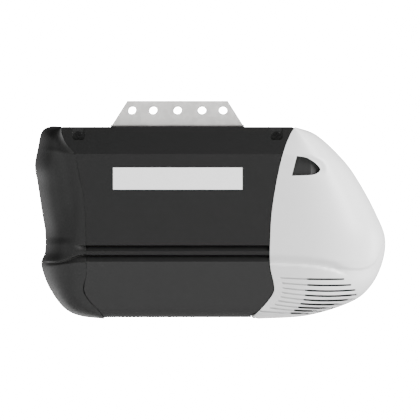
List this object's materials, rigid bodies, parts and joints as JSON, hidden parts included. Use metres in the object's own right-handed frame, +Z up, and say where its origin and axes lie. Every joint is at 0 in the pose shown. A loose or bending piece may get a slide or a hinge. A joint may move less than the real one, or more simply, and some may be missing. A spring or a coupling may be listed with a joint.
{
  "type": "garage door opener",
  "caption": "Ceiling-hung garage door opener power head: dark wrapped body with moulded end cap, hinged pale light lens, hanging brackets, worm gear drive and chain sprocket.",
  "frame": {"origin": "under the middle of the body, at the height of its lowest point", "axes": "+X along the body towards the light lens, +Y to the rear, +Z up towards the hanging brackets"},
  "size_m": [0.4013, 0.2606, 0.2485],
  "materials": {
    "black_steel": "black powder coat, semi-matt",
    "dark_cover": "fine grained charcoal plastic",
    "dark_cap": "charcoal plastic, satin to gloss",
    "black_screw": "black oxide",
    "white_steel": "white powder coat",
    "galvanised": "galvanised sheet, dull",
    "zinc": "bright zinc plate",
    "label": "blank white label",
    "white_plastic": "white heat resistant plastic",
    "brass": "plain brass",
    "lamination": "stacked steel laminations",
    "copper": "varnished copper wire",
    "cast_alloy": "die cast alloy",
    "ground_steel": "ground and oiled steel",
    "bronze": "sintered bronze",
    "black_plastic": "black moulded plastic",
    "circuit_board": "green solder mask",
    "nylon": "natural nylon",
    "orange_plastic": "orange acetal",
    "capacitor_can": "drawn can",
    "relay_blue": "blue relay case",
    "grey_panel": "grey moulded panel",
    "red_plastic": "red lever",
    "grey_plastic": "grey key",
    "yellow_plastic": "yellow key",
    "amber_led": "amber lens",
    "lens_white": "translucent white, satin"
  },
  "bodies": {
    "body": {"chassis": "black_steel", "body_cover": "dark_cover", "cover_screws": "black_screw", "end_cap": "dark_cap", "lamp_end_frame": "white_steel", "board_end_frame": "galvanised", "frame_screws": "zinc", "hanger_front": "galvanised", "hanger_rear": "galvanised", "hanger_bolts": "zinc", "label_plate": "label", "lamp_sockets": "white_plastic", "socket_contacts": "brass", "motor_stator": "lamination", "motor_windings": "copper", "motor_end_bells": "cast_alloy", "motor_bolts": "zinc", "motor_bracket": "galvanised", "shaft_bushing": "bronze", "bearing_bracket": "galvanised", "speed_sensor": "circuit_board", "deck_bushing": "bronze", "gear_bracket": "galvanised", "travel_module": "black_plastic", "run_capacitor": "capacitor_can", "capacitor_strap": "zinc", "logic_board": "circuit_board", "transformer": "lamination", "relays": "relay_blue", "board_standoffs": "brass", "control_panel": "grey_panel", "button_board": "circuit_board", "terminal_block": "white_plastic", "status_led": "amber_led", "cord_gland": "black_plastic", "hinge_pins": "ground_steel", "release_spring_front": "ground_steel", "release_spring_rear": "ground_steel"},
    "motor_rotor_body": {"motor_rotor": "lamination", "motor_shaft": "ground_steel", "worm": "ground_steel", "speed_cup": "black_plastic"},
    "drive": {"drive_shaft": "ground_steel", "drive_gear": "nylon", "sprocket": "ground_steel", "sprocket_clip": "black_screw", "travel_pinion": "nylon"},
    "travel": {"travel_gear": "orange_plastic"},
    "lens": {"light_lens": "lens_white", "hinge_leaf": "zinc"},
    "tab_front": {"release_tab_front": "black_plastic"},
    "tab_rear": {"release_tab_rear": "black_plastic"},
    "key_up": {"button_up": "grey_plastic"},
    "key_down": {"button_down": "grey_plastic"},
    "key_adjust": {"button_adjust": "grey_plastic"},
    "key_learn": {"button_learn": "yellow_plastic"},
    "lever_1": {"terminal_lever_1": "red_plastic"},
    "lever_2": {"terminal_lever_2": "white_plastic"},
    "lever_3": {"terminal_lever_3": "white_plastic"},
    "lever_4": {"terminal_lever_4": "grey_plastic"}
  },
  "joints": [
    {"name": "lens_hinge", "type": "hinge", "parent": "body", "child": "lens", "pos_m": [0.0504, 0, 0.0036], "axis": [0, 1, 0], "range_deg": [0, 60]},
    {"name": "motor_spin", "type": "hinge", "parent": "body", "child": "motor_rotor_body", "pos_m": [0, -0.0405, 0.165], "axis": [1, 0, 0], "continuous": true},
    {"name": "drive_spin", "type": "hinge", "parent": "body", "child": "drive", "pos_m": [-0.037, 0, 0.165], "axis": [0, 0, 1], "continuous": true},
    {"name": "travel_spin", "type": "hinge", "parent": "body", "child": "travel", "pos_m": [-0.037, 0.027, 0.112], "axis": [0, 0, 1], "continuous": true},
    {"name": "tab_front_press", "type": "slide", "parent": "body", "child": "tab_front", "axis": [0, 1, 0], "range_m": [0, 0.004], "stiffness_N_per_m": 400, "springref_m": -0.0015, "deforming": ["release_spring_front"]},
    {"name": "tab_rear_press", "type": "slide", "parent": "body", "child": "tab_rear", "axis": [0, -1, 0], "range_m": [0, 0.004], "stiffness_N_per_m": 400, "springref_m": -0.0015, "deforming": ["release_spring_rear"]},
    {"name": "up_press", "type": "slide", "parent": "body", "child": "key_up", "axis": [1, 0, 0], "range_m": [0, 0.0015], "stiffness_N_per_m": 400, "springref_m": -0.0015},
    {"name": "down_press", "type": "slide", "parent": "body", "child": "key_down", "axis": [1, 0, 0], "range_m": [0, 0.0015], "stiffness_N_per_m": 400, "springref_m": -0.0015},
    {"name": "adjust_press", "type": "slide", "parent": "body", "child": "key_adjust", "axis": [1, 0, 0], "range_m": [0, 0.0015], "stiffness_N_per_m": 400, "springref_m": -0.0015},
    {"name": "learn_press", "type": "slide", "parent": "body", "child": "key_learn", "axis": [1, 0, 0], "range_m": [0, 0.0015], "stiffness_N_per_m": 400, "springref_m": -0.0015},
    {"name": "lever_1_press", "type": "slide", "parent": "body", "child": "lever_1", "axis": [1, 0, 0], "range_m": [0, 0.0015], "stiffness_N_per_m": 400, "springref_m": -0.0015},
    {"name": "lever_2_press", "type": "slide", "parent": "body", "child": "lever_2", "axis": [1, 0, 0], "range_m": [0, 0.0015], "stiffness_N_per_m": 400, "springref_m": -0.0015},
    {"name": "lever_3_press", "type": "slide", "parent": "body", "child": "lever_3", "axis": [1, 0, 0], "range_m": [0, 0.0015], "stiffness_N_per_m": 400, "springref_m": -0.0015},
    {"name": "lever_4_press", "type": "slide", "parent": "body", "child": "lever_4", "axis": [1, 0, 0], "range_m": [0, 0.0015], "stiffness_N_per_m": 400, "springref_m": -0.0015}
  ],
  "couplings": [
    {"joint": "drive_spin", "follows": "motor_spin", "ratio": -0.0625},
    {"joint": "travel_spin", "follows": "motor_spin", "ratio": 0.03125}
  ]
}
